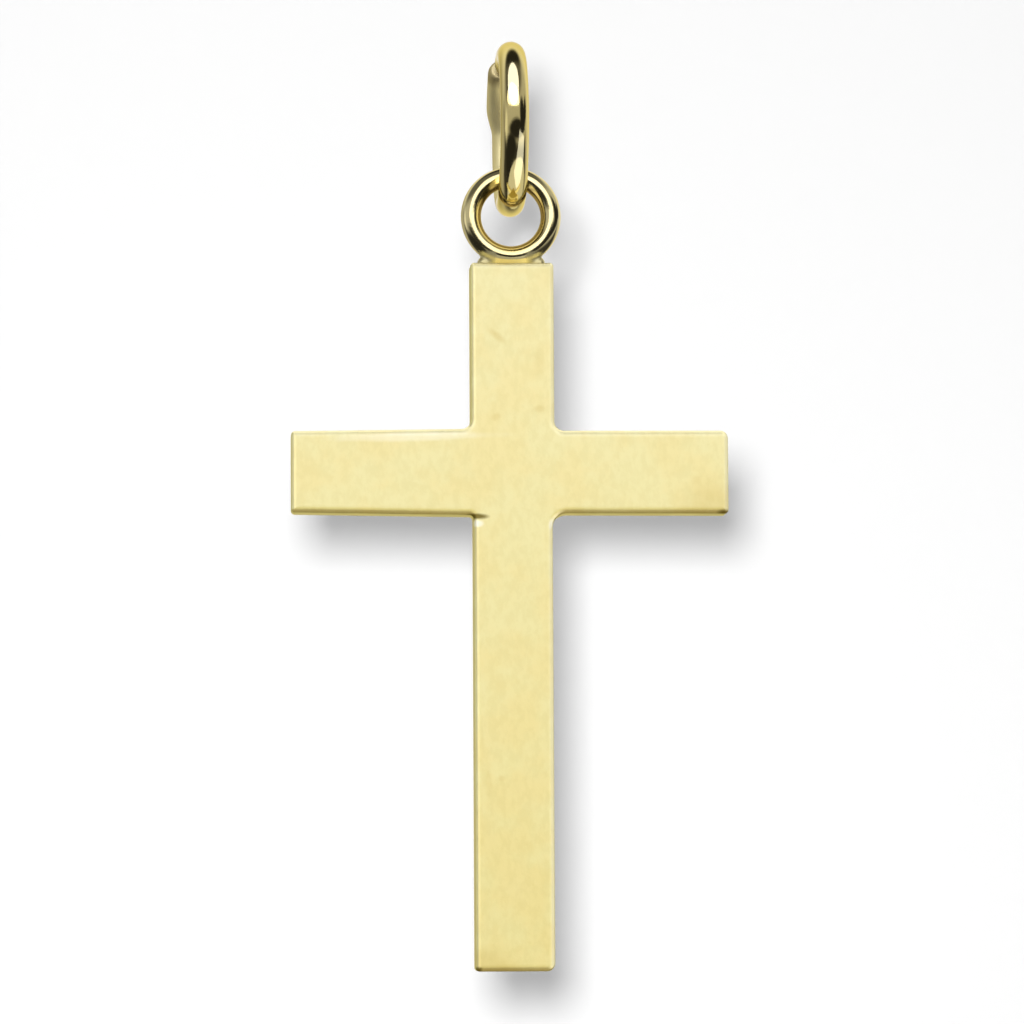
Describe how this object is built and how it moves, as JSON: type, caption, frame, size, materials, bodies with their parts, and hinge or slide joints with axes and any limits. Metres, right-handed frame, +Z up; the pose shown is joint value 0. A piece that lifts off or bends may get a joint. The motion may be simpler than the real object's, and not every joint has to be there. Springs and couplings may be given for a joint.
{
  "type": "cross pendant",
  "caption": "Plain flat Latin cross with a soldered wire eyelet on its top edge, hanging free from a round jump ring that a chain passes through.",
  "frame": {"origin": "inner top of the jump ring, where the chain that carries the pendant passes through", "axes": "+Z up, +Y away from the viewer through the thickness of the cross, +X to the right along its arms"},
  "size_m": [0.0146, 0.0059, 0.0311],
  "materials": {
    "cross_gold": "pale yellow gold, polished by hand, faintly satin on the flat faces",
    "ring_gold": "pale yellow gold wire, mirror polished"
  },
  "bodies": {
    "jump_ring": {"jump_ring": "ring_gold"},
    "cross": {"cross": "cross_gold"}
  },
  "joints": [
    {"name": "cross_swing", "type": "hinge", "parent": "jump_ring", "child": "cross", "pos_m": [0, 0, -0.00363], "axis": [1, 0, 0], "range_deg": [-75, 75]}
  ]
}
